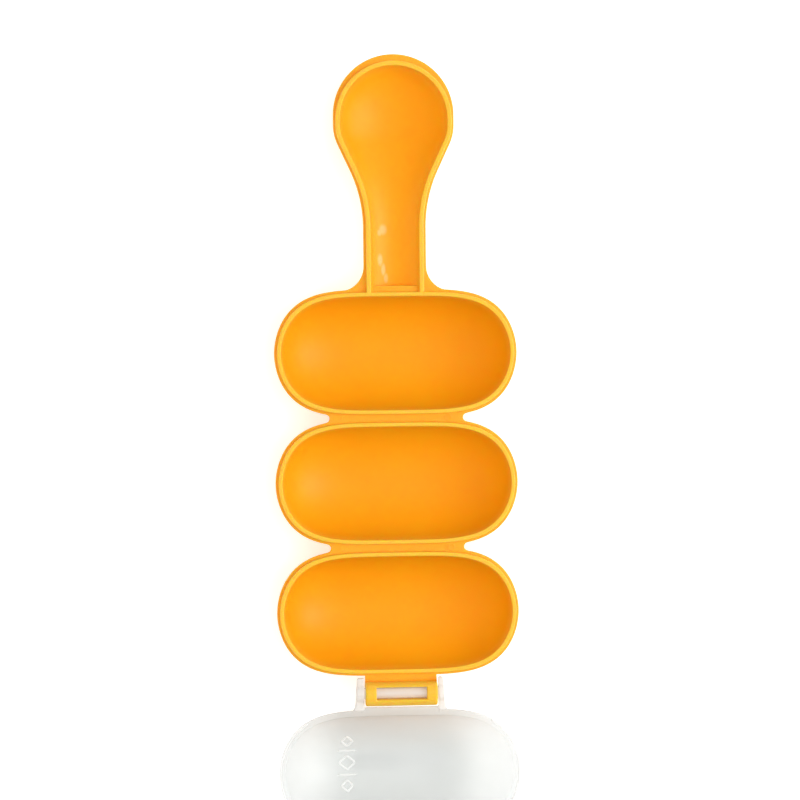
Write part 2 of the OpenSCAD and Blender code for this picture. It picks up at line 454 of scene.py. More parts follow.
# ---------------------------------------------------------------- small parts from distance fields
def field_solid(name, f, lo, hi, h):
    xs, ys, zs = (np.arange(lo[i], hi[i] + h, h) for i in range(3))
    X, Y, Z = np.meshgrid(xs, ys, zs, indexing="ij")
    V = f(X, Y, Z)
    ins = V < 0
    c = np.zeros(tuple(s - 1 for s in V.shape), int)
    corner = [(i, j, k) for i in (0, 1) for j in (0, 1) for k in (0, 1)]

    def view(a, o):
        return a[o[0]:a.shape[0] - 1 + o[0], o[1]:a.shape[1] - 1 + o[1], o[2]:a.shape[2] - 1 + o[2]]

    for o in corner:
        c += view(ins, o)
    act = (c > 0) & (c < 8)
    cells = np.argwhere(act)
    index = np.full(c.shape, -1)
    index[act] = np.arange(len(cells))
    acc = np.zeros((len(cells), 3))
    cnt = np.zeros(len(cells))
    for o in corner:
        for ax in range(3):
            if o[ax]:
                continue
            o2 = list(o)
            o2[ax] = 1
            p, q = cells + o, cells + o2
            a = V[tuple(p.T)]
            b = V[tuple(q.T)]
            hit = (a < 0) != (b < 0)
            t = np.where(hit, a / np.where(a == b, 1, a - b), 0)
            pos = (p + (q - p) * t[:, None]) * hit[:, None]
            acc += pos
            cnt += hit
    pts = acc / cnt[:, None] * h + np.array(lo)
    e = 2e-3
    for _ in range(5):
        x, y, z = pts.T
        val = f(x, y, z)
        g = np.c_[f(x + e, y, z) - f(x - e, y, z), f(x, y + e, z) - f(x, y - e, z), f(x, y, z + e) - f(x, y, z - e)] / (2 * e)
        g2 = np.maximum((g * g).sum(1), 0.05)
        pts = pts - g * np.clip(val / g2, -0.5 * h, 0.5 * h)[:, None]
    faces = []
    for ax in range(3):
        u, v = (ax + 1) % 3, (ax + 2) % 3
        sl0 = [slice(None)] * 3
        sl1 = [slice(None)] * 3
        sl0[ax], sl1[ax] = slice(0, -1), slice(1, None)
        change = ins[tuple(sl0)] != ins[tuple(sl1)]
        at = np.argwhere(change)
        ok = (at[:, u] > 0) & (at[:, v] > 0) & (at[:, u] < V.shape[u] - 1) & (at[:, v] < V.shape[v] - 1)
        at = at[ok]
        sign = ins[tuple(at.T)]
        quad = []
        for du, dv in ((-1, -1), (0, -1), (0, 0), (-1, 0)):
            s = at.copy()
            s[:, u] += du
            s[:, v] += dv
            quad.append(index[tuple(s.T)])
        quad = np.stack(quad, 1)
        quad[~sign] = quad[~sign][:, ::-1]
        faces.append(quad)
    faces = np.concatenate(faces)
    ob = new_object(name, pts, faces)
    return ob


def box3(x, y, z, lo, hi, k):
    f = smax(lo[0] - x, x - hi[0], 1e-3)
    f = smax(f, smax(lo[1] - y, y - hi[1], 1e-3), k)
    return smax(f, smax(lo[2] - z, z - hi[2], 1e-3), k)


def barrel_field(x, y, z):
    yy = y - HINGE_Y
    x = x - LUG_X
    r = np.hypot(yy, z)
    body = np.hypot(yy - np.clip(yy, -BARREL_LONG, 0), z) - BARREL_R
    f = smax(body, np.abs(x) - BARREL_HALF, 0.7)
    throat = box3(x, y, z, (-BARREL_HALF, HINGE_Y, PLATE_Z), (BARREL_HALF, -51.35, LEDGE_Z - 0.01), 0.35)
    f = smin(f, throat, 1.3)
    f = smax(f, np.abs(x) - BARREL_HALF, 0.2)
    f = smax(f, SEAT_R - r, 0.12)
    slot = np.maximum(np.abs(yy) - SLOT / 2, z)
    f = smax(f, -slot, 0.3)
    win = np.maximum(np.maximum(np.abs(x) - WINDOW_HALF, np.abs(yy + WINDOW_SHIFT) - WINDOW_W), -0.5 - z)
    return smax(f, -win, 0.35)


def ear_field(x, y, z):
    """Lid's ears, hinge rod and strip, as they lie when closed."""
    yy = y - HINGE_Y
    ax = np.abs(x)
    side = np.sign(x)
    xo = np.interp(yy, [-4.25, -3.65, 2.0, 3.9, 5.4], [11.55, 11.70, 12.05, 12.35, 13.25]) + 0.15 * side
    bar = np.maximum(np.maximum(-4.25 - yy, yy - 4.5), np.maximum(-1.15 - z, z - 1.05))
    root = np.maximum(np.maximum(-yy, yy - 5.2), np.maximum(0.06 - z, z - 1.05))
    prof = smin(np.hypot(yy, z) - 2.45, smin(bar, root, 0.1), 0.3)
    f = smax(smax(BARREL_HALF + 0.25 + LUG_X * side - ax, ax - xo, 0.02), prof, 0.45)
    f = smax(f, -4.25 - yy, 0.4)
    strip = box3(x, yy, z, (LUG_X - BARREL_HALF - 1.0, 3.92, 0.06), (LUG_X + BARREL_HALF + 1.0, 5.75, 1.05), 0.3)
    f = smin(f, strip, 0.35)
    rod = np.maximum(np.hypot(yy, z) - ROD_R, np.abs(x - LUG_X) - BARREL_HALF - 0.6)
    return smin(f, rod, 0.25)


def tongue_field(x, y, z):
    half, drop, y0 = 5.8, 3.0, CHANNEL_END + 0.2
    top = box3(x, y, z, (-half, 51.1, 0.06), (half, y0 + 1.1, 1.05), 0.35)
    lim = np.interp(z, [-3.0, -1.2], [half - 2.0, half])
    f = smax(np.abs(x) - lim, smax(y0 - y, y - y0 - 1.13, 1e-3), 0.3)
    f = smax(f, smax(-drop - z, z - 0.8, 1e-3), 0.35)
    return smin(top, f, 0.3)


# ---------------------------------------------------------------- spoon
def spoon_solid():
    ys, xs = INNER_CURVE
    stations = []           # point, outward normal, inner end, floor
    y_end = 50.78
    rows = [y_end, 51.4, 52.1, 52.8, 53.2, 53.42, 53.50, 53.54, 53.58, 53.62, 53.66, 53.70, 53.76, 53.84, 54.0, 54.4, 55.0]
    rows += list(np.linspace(56.0, 69.4, 15)) + list(np.linspace(70.2, 98.4, 38))

    def floor(y):
        q = min(max((y - 53.52) / 0.16, 0), 1)
        q = q * q * (3 - 2 * q)
        return -1.49 + q * (-K_IN * NECK_W - 0.3 + 1.49)

    for y in rows:
        w = float(np.interp(y, ys, xs))
        dw = float(np.interp(y + 0.2, ys, xs) - np.interp(y - 0.2, ys, xs)) / 0.4 if y < 98.3 else 0.0
        n = np.array([1.0, -dw]) / math.hypot(1, dw)
        stations.append((np.array([w, y]), n, np.array([0.0, y]), floor(y) if y < 54 else None))
    right = list(stations)
    for deg in np.linspace(0, 180, 65)[1:-1]:
        d = np.array([math.cos(math.radians(deg)), math.sin(math.radians(deg))])
        stations.append((np.array([0, SPOON_Y]) + SPOON_R * d, d, np.array([0.0, SPOON_Y]), None))
    for p, n, c, fl in reversed(right):
        stations.append((p * [-1, 1], n * [-1, 1], c, fl))
    lip = [(0.012, -0.30), (0.045, -0.20), (0.10, -0.125), (0.18, -0.075), (0.27, -0.053), (0.36, -0.05),
           (0.62, -0.05), (0.86, -0.05), (0.97, -0.056), (1.08, -0.08), (1.16, -0.125), (1.215, -0.20),
           (1.245, -0.30), (1.25, -0.42), (1.25, -0.85), (1.25, -1.22), (1.265, -1.33), (1.31, -1.42),
           (1.38, -1.475), (1.46, -1.503), (1.50, -1.53), (1.42, -1.75)]
    grid = []
    inner_n, outer_n = 30, 20
    for p, n, c, fl in stations:
        row = []
        span = p - c
        w = float(np.linalg.norm(span))
        d = span / w
        top = math.acos(0.38 / (K_IN * w))
        for j in range(inner_n + 1):
            q = j / inner_n
            psi = top * (1 - (1 - q) ** 1.15)
            x, z = w * math.sin(psi), -K_IN * w * math.cos(psi)
            if fl is not None:
                z = max(z, fl)
            g = c + d * x
            row.append((g[0], g[1], z))
        for off, z in lip:
            g = p + n * off
            row.append((g[0], g[1], z))
        po = p + n * SPOON_LIP
        co = np.array([0.0, po[1]]) if p[1] <= SPOON_Y + 1e-6 else c
        wo = float(np.linalg.norm(po - co))
        do = (po - co) / wo
        start = math.acos(min(1, 2.15 / (K_OUT * wo)))
        for j in range(outer_n + 1):
            psi = start * (1 - j / outer_n)
            g = co + do * (wo * math.sin(psi))
            row.append((g[0], g[1], -K_OUT * wo * math.cos(psi)))
        grid.append(row)
    m = len(grid[0])
    verts = [v for row in grid for v in row]
    faces = []
    for i in range(len(grid) - 1):
        for j in range(m - 1):
            a = i * m + j
            faces.append((a, a + 1, a + m + 1, a + m))
    last = (len(grid) - 1) * m
    cap = list(range(0, m)) + list(range(last + m - 2, last, -1))
    faces.append(tuple(cap))
    return tidy(new_object("spoon", verts, faces))


def spoon_hole():
    ys, xs = INNER_CURVE
    d = 0.62
    right = []
    for y in [52.3] + list(np.linspace(53.5, 98.4, 90)):
        w = float(np.interp(y, ys, xs))
        dw = float(np.interp(y + 0.2, ys, xs) - np.interp(y - 0.2, ys, xs)) / 0.4 if y < 98.3 else 0.0
        n = np.array([1.0, -dw]) / math.hypot(1, dw)
        right.append(np.array([w, y]) + n * d)
    arc = [np.array([0, SPOON_Y]) + (SPOON_R + d) * np.array([math.cos(a), math.sin(a)]) for a in np.linspace(0, math.pi, 97)[1:-1]]
    return np.array(right + arc + [p * [-1, 1] for p in reversed(right)])


# ---------------------------------------------------------------- base
def small_disc(x, y, r, z0, z1):
    t = np.linspace(0, 2 * math.pi, 40, endpoint=False)
    rings = []
    for q, z in [(r - 0.16, z1), (r - 0.05, z1 - 0.025), (r, z1 - 0.07), (r, z0)]:
        rings.append(np.c_[x + q * np.cos(t), y + q * np.sin(t), np.full(40, z)])
    dish = [np.c_[x + q * np.cos(t), y + q * np.sin(t), np.full(40, z)] for q, z in [(r - 0.34, z1 - 0.045), (r - 0.26, z1 - 0.02)]]
    return ring_stack("disc", dish + rings, (x, y, z1 - 0.05), (x, y, z0))


def make_base():
    parts = [base_cup(y) for y in HOLLOWS]
    outer = contour(base_field, (-36, -56, ), (36, 119), 0.42)
    holes = [rim(0.5, 0, y)[:, :2] for y in HOLLOWS] + [spoon_hole()]
    profile = [(0.34, -1.5), (0.22, -1.515), (0.12, -1.56), (0.045, -1.64), (0.008, -1.75), (0.0, -1.88),
               (0.0, -2.10), (0.0, -2.36), (0.012, -2.48), (0.05, -2.58), (0.12, -2.65), (0.22, -2.69), (0.34, -2.70)]
    parts.append(plate("plate", outer, holes, profile))
    parts.append(spoon_solid())
    parts.append(field_solid("barrel", barrel_field, (-9.7, -61.1, -3.35), (10.7, -50.95, 3.35), 0.15))
    for x, y in ((14.1, 17.65), (-14.1, 17.65), (14.6, -17.65), (-14.6, -17.65)):
        parts.append(small_disc(x, y, 1.05, -2.0, -1.44))
    return union("rice_base", parts)


# ---------------------------------------------------------------- lid, as it lies closed over the base, then turned open
def lid_cup(y):
    """Cup that opens upwards here; the lid is turned over afterwards."""
    rings = inner_rings(y)
    rings += [rim(d, z, y) for d, z in INNER_FILLET]
    rings += [rim(d, z, y) for d, z in [
        (0.60, -0.05), (0.85, -0.05), (0.98, -0.053), (1.10, -0.072), (1.12, -0.2), (1.10, -0.8)]]
    rings += [rim(d, z, y) for d, z in [(1.30, -1.00), (1.22, -1.07), (1.14, -1.16), (1.10, -1.30)]]
    rings += outer_rings(y, -1.9, 25)
    return ring_stack("dome", rings, (0, y, -B), (0, y, FLAT_Z))


def skirt(y, gap_side, gap):
    """Thin wall that stands on the flange, with an opening of half width gap."""
    prof = [(SKIRT_IN, -0.6), (SKIRT_IN, -0.02), (SKIRT_IN, 1.20), (SKIRT_IN + 0.03, 1.29), (SKIRT_IN + 0.10, 1.35), (SKIRT_IN + 0.18, 1.37),
            (SKIRT_OUT - 0.18, 1.37), (SKIRT_OUT - 0.10, 1.35), (SKIRT_OUT - 0.03, 1.29), (SKIRT_OUT, 1.20), (SKIRT_OUT, -0.02), (SKIRT_OUT, -0.6)]
    if gap_side == 0:
        units = U
    else:
        t = np.linspace(0, 2 * math.pi, 40001) + gap_side * math.pi / 2
        c, s = np.cos(t), np.sin(t)
        ux, uy = curve(c, s)
        keep = ~((np.abs(ux * A) < gap) & (uy * gap_side > 0))
        ux, uy = ux[keep], uy[keep]
        length = np.concatenate([[0], np.cumsum(np.hypot(np.diff(ux * A), np.diff(uy * B)))])
        w = np.linspace(0, length[-1], 210)
        units = np.c_[np.interp(w, length, ux), np.interp(w, length, uy)]
    rows = [rim(d, z, y, units) for d, z in prof]
    n, m = len(units), len(prof)
    verts = np.stack(rows, 1).reshape(-1, 3)
    if gap_side != 0:
        mid = (SKIRT_IN + SKIRT_OUT) / 2
        for end, step in ((0, 1), (n - 1, -1)):
            for q, k in ((0, 0.55), (1, 0.86)):
                i = end + step * q
                for j, (d, z) in enumerate(prof):
                    zz = -0.6 + (z + 0.6) * (0.86 if q == 0 else 0.965) if z > 0 else z
                    dd = mid + (d - mid) * k
                    verts[i * m + j] = (units[i, 0] * (A + dd), units[i, 1] * (B + dd) + y, zz)
    faces = []
    for i in range(n if gap_side == 0 else n - 1):
        i2 = (i + 1) % n
        for j in range(m):
            j2 = (j + 1) % m
            faces.append((i * m + j, i2 * m + j, i2 * m + j2, i * m + j2))
    if gap_side != 0:
        faces.append(tuple(range(m)))
        faces.append(tuple(range((n - 1) * m + m - 1, (n - 1) * m - 1, -1)))
    return tidy(new_object("skirt", verts, faces))


def flip(ob):
    """Half a turn about the hinge axis: closed place to open place."""
    ob.data.transform(Matrix(((1, 0, 0, 0), (0, -1, 0, 2 * HINGE_Y), (0, 0, -1, 0), (0, 0, 0, 1))))
    return ob


def ridge(points, yc, half=0.32, high=0.22):
    """Raised rounded line on the inner face of a hollow, through points seen from above."""
    p = np.array(points, float)
    closed = np.allclose(p[0], p[-1])
    s = np.concatenate([[0], np.cumsum(np.hypot(*np.diff(p, axis=0).T))])
    n = max(8, int(s[-1] / 0.22))
    w = np.linspace(0, s[-1], n, endpoint=not closed)
    q = np.c_[np.interp(w, s, p[:, 0]), np.interp(w, s, p[:, 1])]

    def base_point(x, y):
        rho = B * np.maximum(1 - np.abs(x / A) ** FULL, 0) ** (1 / ROUND)
        return np.array([x, y, -math.sqrt(max(rho * rho - y * y, 0))])

    def up(x, y):
        e = 0.02
        a = base_point(x + e, y) - base_point(x - e, y)
        b = base_point(x, y + e) - base_point(x, y - e)
        v = np.cross(a, b)
        return v / np.linalg.norm(v)

    t = (np.roll(q, -1, 0) - np.roll(q, 1, 0)) if closed else np.gradient(q, axis=0)
    rings = []
    prof = [(-1.0, -0.35), (-0.92, 0.15), (-0.70, 0.55), (-0.38, 0.88), (0, 1.0), (0.38, 0.88), (0.70, 0.55), (0.92, 0.15), (1.0, -0.35)]
    for i, (x, y) in enumerate(q):
        c, v = base_point(x, y), up(x, y)
        tx, ty = t[i] / np.linalg.norm(t[i])
        tan = base_point(x + 0.05 * tx, y + 0.05 * ty) - base_point(x - 0.05 * tx, y - 0.05 * ty)
        tan /= np.linalg.norm(tan)
        side = np.cross(tan, v)
        end = 1.0
        if not closed:
            far = min(w[i], s[-1] - w[i])
            end = math.sqrt(max(0.02, 1 - (1 - min(far / (half * 1.1), 1)) ** 2))
        rings.append(np.array([c + side * a * half * end + v * b * high * (end if b > 0 else 1) for a, b in prof]))
    m = len(prof)
    verts = [v + np.array([0, yc, 0]) for r in rings for v in r]
    faces = []
    for i in range(len(rings) - (0 if closed else 1)):
        i2 = (i + 1) % len(rings)
        for j in range(m):
            j2 = (j + 1) % m
            faces.append((i * m + j, i2 * m + j, i2 * m + j2, i * m + j2))
    if not closed:
        faces.append(tuple(range(m)))
        faces.append(tuple((len(rings) - 1) * m + j for j in range(m - 1, -1, -1)))
    return tidy(new_object("ridge", verts, faces))


def motif(yc):
    """Plain raised ornament: a column of lozenges between short bars."""
    out = []
    x0 = -14.0
    for k, y in enumerate((-6.2, 0.0, 6.2)):
        a, b = (2.3, 2.0) if k == 1 else (1.6, 1.5)
        out.append([(x0 + a, y), (x0, y + b), (x0 - a, y), (x0, y - b), (x0 + a, y)])
    for y in (-3.35, 3.35):
        out.append([(x0 - 2.4, y), (x0 + 2.4, y)])
    made = []
    for pts in out:
        fine = []
        for a, b in zip(pts[:-1], pts[1:]):
            for q in np.linspace(0, 1, 14, endpoint=False):
                fine.append((a[0] + q * (b[0] - a[0]), a[1] + q * (b[1] - a[1])))
        fine.append(pts[-1])
        fine = np.array(fine)
        if len(pts) > 2:        # soften the corners
            ring = fine[:-1]
            for _ in range(6):
                ring = ring + 0.25 * (np.roll(ring, 1, 0) + np.roll(ring, -1, 0) - 2 * ring)
            fine = np.vstack([ring, ring[:1]])
        made.append(ridge(fine, yc))
    return made


def make_lid():
    parts = []
    # in the open place the cups open upwards; closed y of a hollow goes to 2*HINGE_Y - y
    for yc in HOLLOWS:
        yo = 2 * HINGE_Y - yc
        parts.append(lid_cup(yo))
        gap_side, gap = {HOLLOWS[0]: (-1, 8.15), HOLLOWS[1]: (0, 0), HOLLOWS[2]: (1, 24.0)}[yc]
        parts.append(skirt(yo, gap_side, gap))
    outer = contour(lid_field, (-36, -56), (36, 56), 0.45)
    outer = outer + np.array([0, 2 * HINGE_Y])
    holes = [rim(0.5, 0, 2 * HINGE_Y - y)[:, :2] for y in HOLLOWS]
    profile = [(0.20, -0.06), (0.12, -0.07), (0.05, -0.105), (0.01, -0.16), (0.0, -0.24), (0.0, -0.55), (0.0, -0.85), (0.01, -0.93),
               (0.05, -0.995), (0.12, -1.035), (0.20, -1.05)]
    parts.append(plate("flange", outer, holes, profile))
    parts.append(flip(field_solid("ears", ear_field, (-13.7, -61.8, -2.85), (13.7, -50.7, 2.85), 0.15)))
    parts.append(flip(field_solid("tongue", tongue_field, (-6.2, 50.7, -3.3), (6.2, 55.5, 1.4), 0.15)))
    lines = []
    for y in HOLLOWS:
        lines += motif(2 * HINGE_Y - y)
    tops = [v.co.copy() for p in lines for v in p.data.vertices]
    ob = union("rice_lid", parts + lines)
    # mark the raised lines, for the material, which paints them whiter and more opaque as a painted highlight
    tree = KDTree(len(tops))
    for i, co in enumerate(tops):
        tree.insert(co, i)
    tree.balance()
    mark = ob.data.attributes.new("raised", "FLOAT", "POINT")
    mark.data.foreach_set("value", [1.0 if abs(v.co.x + 14) < 3.5 and tree.find(v.co)[2] < 0.02 else 0.0 for v in ob.data.vertices])
    return ob


def place(ob, body, node, slot, mat, angle=33):
    me = ob.data
    me.transform(Matrix.Translation((0, Y_SHIFT * MM, Z_SHIFT * MM)) @ Matrix.Scale(MM, 4))
    me.materials.clear()
    me.materials.append(mat)
    for p in me.polygons:
        p.use_smooth = True
        p.material_index = 0
    me.set_sharp_from_angle(angle=math.radians(angle))
    m = ob.modifiers.new("normals", "WEIGHTED_NORMAL")
    m.keep_sharp = True
    m.mode = "FACE_AREA_WITH_ANGLE"
    m.weight = 50
    bpy.context.view_layer.update()
    deps = bpy.context.evaluated_depsgraph_get()
    me2 = bpy.data.meshes.new_from_object(ob.evaluated_get(deps))
    ob.modifiers.clear()
    ob.data = me2
    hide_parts(node)
    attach(ob, body)
    return ob


# ---------------------------------------------------------------- materials
def linear(hexa):
    v = [int(hexa[i:i + 2], 16) / 255 for i in (0, 2, 4)]
    return tuple((c / 12.92 if c <= 0.04045 else ((c + 0.055) / 1.055) ** 2.4) for c in v) + (1,)


def nodes_of(name):
    mat = bpy.data.materials.new(name)
    mat.use_nodes = True
    nt = mat.node_tree
    return mat, nt, nt.nodes["Principled BSDF"], nt.nodes["Material Output"]


def add(nt, kind, **props):
    n = nt.nodes.new(kind)
    for k, v in props.items():
        setattr(n, k, v)
    return n


def spots(nt, tex, places):
    """Mask of soft ellipses, seen from above."""
    L = nt.links.new
    mask = None
    for x, y, rx, ry in places:
        off = add(nt, "ShaderNodeVectorMath", operation="SUBTRACT")
        L(tex.outputs["Object"], off.inputs[0])
        off.inputs[1].default_value = (x * MM, (y + Y_SHIFT) * MM, 0)
        size = add(nt, "ShaderNodeVectorMath", operation="MULTIPLY")
        L(off.outputs["Vector"], size.inputs[0])
        size.inputs[1].default_value = (1 / (rx * MM), 1 / (ry * MM), 0)
        far = add(nt, "ShaderNodeVectorMath", operation="LENGTH")
        L(size.outputs["Vector"], far.inputs[0])
        one = add(nt, "ShaderNodeMapRange", interpolation_type="SMOOTHSTEP")
        one.inputs["From Min"].default_value = 1.0
        one.inputs["From Max"].default_value = 0.35
        L(far.outputs["Value"], one.inputs["Value"])
        if mask is None:
            mask = one.outputs["Result"]
        else:
            both = add(nt, "ShaderNodeMath", operation="MAXIMUM")
            L(mask, both.inputs[0])
            L(one.outputs["Result"], both.inputs[1])
            mask = both.outputs["Value"]
    return mask


def base_material():
    mat, nt, bsdf, out = nodes_of("orange_polypropylene")
    L = nt.links.new
    tex = add(nt, "ShaderNodeTexCoord")
    flow = add(nt, "ShaderNodeTexNoise")
    flow.inputs["Scale"].default_value = 28
    flow.inputs["Detail"].default_value = 3
    L(tex.outputs["Object"], flow.inputs["Vector"])
    ramp = add(nt, "ShaderNodeValToRGB")
    ramp.color_ramp.elements[0].position = 0.3
    ramp.color_ramp.elements[0].color = linear("f1a906")
    ramp.color_ramp.elements[1].position = 0.72
    ramp.color_ramp.elements[1].color = linear("f5b009")
    L(flow.outputs["Fac"], ramp.inputs["Fac"])
    # painted light: the thin lips let light through and are painted paler than the rest
    place_z = add(nt, "ShaderNodeSeparateXYZ")
    L(tex.outputs["Object"], place_z.inputs["Vector"])
    lip = add(nt, "ShaderNodeMapRange", interpolation_type="SMOOTHSTEP")
    lip.inputs["From Min"].default_value = (Z_SHIFT - 0.55) * MM
    lip.inputs["From Max"].default_value = (Z_SHIFT - 0.06) * MM
    L(place_z.outputs["Z"], lip.inputs["Value"])
    painted_lip_light = add(nt, "ShaderNodeMix", data_type="RGBA")
    L(lip.outputs["Result"], painted_lip_light.inputs["Factor"])
    painted_lip_light.inputs["B"].default_value = linear("fdc540")
    # painted reflection: the flat ledges are painted a little paler than the hollows, in place of the sheen from the
    # lamp above
    high = add(nt, "ShaderNodeMapRange", interpolation_type="SMOOTHSTEP")
    high.inputs["From Min"].default_value = (Z_SHIFT - 5.0) * MM
    high.inputs["From Max"].default_value = (Z_SHIFT - 1.6) * MM
    L(place_z.outputs["Z"], high.inputs["Value"])
    painted_ledge_sheen = add(nt, "ShaderNodeMix", data_type="RGBA")
    L(high.outputs["Result"], painted_ledge_sheen.inputs["Factor"])
    # painted shade: the hollows' walls are painted a deeper orange than the spoon's
    hollow_shade_mask = add(nt, "ShaderNodeMapRange", interpolation_type="SMOOTHSTEP")
    hollow_shade_mask.inputs["From Min"].default_value = (54.0 + Y_SHIFT) * MM
    hollow_shade_mask.inputs["From Max"].default_value = (52.6 + Y_SHIFT) * MM
    L(place_z.outputs["Y"], hollow_shade_mask.inputs["Value"])
    painted_hollow_shade = add(nt, "ShaderNodeMix", data_type="RGBA", blend_type="MULTIPLY")
    L(hollow_shade_mask.outputs["Result"], painted_hollow_shade.inputs["Factor"])
    L(ramp.outputs["Color"], painted_hollow_shade.inputs["A"])
    painted_hollow_shade.inputs["B"].default_value = (0.95, 0.94, 0.8, 1)
    L(painted_hollow_shade.outputs["Result"], painted_ledge_sheen.inputs["A"])
    painted_ledge_sheen.inputs["B"].default_value = linear("f4b228")
    L(painted_ledge_sheen.outputs["Result"], painted_lip_light.inputs["A"])
    # fine moulded grain
    grain = add(nt, "ShaderNodeTexNoise")
    grain.inputs["Scale"].default_value = 2600
    grain.inputs["Detail"].default_value = 2
    L(tex.outputs["Object"], grain.inputs["Vector"])
    wave = add(nt, "ShaderNodeTexNoise")
    wave.inputs["Scale"].default_value = 110
    wave.inputs["Detail"].default_value = 2
    L(tex.outputs["Object"], wave.inputs["Vector"])
    b1 = add(nt, "ShaderNodeBump")
    b1.inputs["Strength"].default_value = 0.05
    b1.inputs["Distance"].default_value = 0.0001
    L(grain.outputs["Fac"], b1.inputs["Height"])
    b2 = add(nt, "ShaderNodeBump")
    b2.inputs["Strength"].default_value = 0.06
    b2.inputs["Distance"].default_value = 0.0004
    L(wave.outputs["Fac"], b2.inputs["Height"])
    L(b1.outputs["Normal"], b2.inputs["Normal"])
    L(b2.outputs["Normal"], bsdf.inputs["Normal"])
    rough = add(nt, "ShaderNodeMapRange")
    rough.inputs["To Min"].default_value = 0.48
    rough.inputs["To Max"].default_value = 0.6
    L(wave.outputs["Fac"], rough.inputs["Value"])
    # rubbed, glossier marks on the left wall of the spoon's channel, also painted paler as a painted highlight of the
    # key lamp
    rub_glint_mask = spots(nt, tex, RUBBED_MARKS_AND_GLINTS)
    blend = add(nt, "ShaderNodeMix", data_type="FLOAT")
    L(rub_glint_mask, blend.inputs["Factor"])
    L(rough.outputs["Result"], blend.inputs["A"])
    blend.inputs["B"].default_value = 0.3
    L(blend.outputs["Result"], bsdf.inputs["Roughness"])
    # painted highlight: the marks are painted paler, towards ffdc9a
    glint_strength = add(nt, "ShaderNodeMath", operation="MULTIPLY")
    L(rub_glint_mask, glint_strength.inputs[0])
    glint_strength.inputs[1].default_value = 0.3
    painted_glint = add(nt, "ShaderNodeMix", data_type="RGBA")
    L(glint_strength.outputs["Value"], painted_glint.inputs["Factor"])
    # faint round marks of the mould's pins on the webs
    pins = add(nt, "ShaderNodeMath", operation="MULTIPLY")
    L(spots(nt, tex, PINS), pins.inputs[0])
    pins.inputs[1].default_value = 0.4
    dull = add(nt, "ShaderNodeMix", data_type="RGBA")
    L(pins.outputs["Value"], dull.inputs["Factor"])
    L(painted_lip_light.outputs["Result"], dull.inputs["A"])
    dull.inputs["B"].default_value = linear("e59a14")
    L(dull.outputs["Result"], painted_glint.inputs["A"])
    painted_glint.inputs["B"].default_value = linear("ffdc9a")
    L(painted_glint.outputs["Result"], bsdf.inputs["Base Color"])
    bsdf.inputs["IOR"].default_value = 1.49
    bsdf.inputs["Specular IOR Level"].default_value = 0.4
    bsdf.inputs["Subsurface Weight"].default_value = 0.85
    bsdf.inputs["Subsurface Radius"].default_value = (1.0, 0.32, 0.05)
    bsdf.inputs["Subsurface Scale"].default_value = 0.0018
    return mat


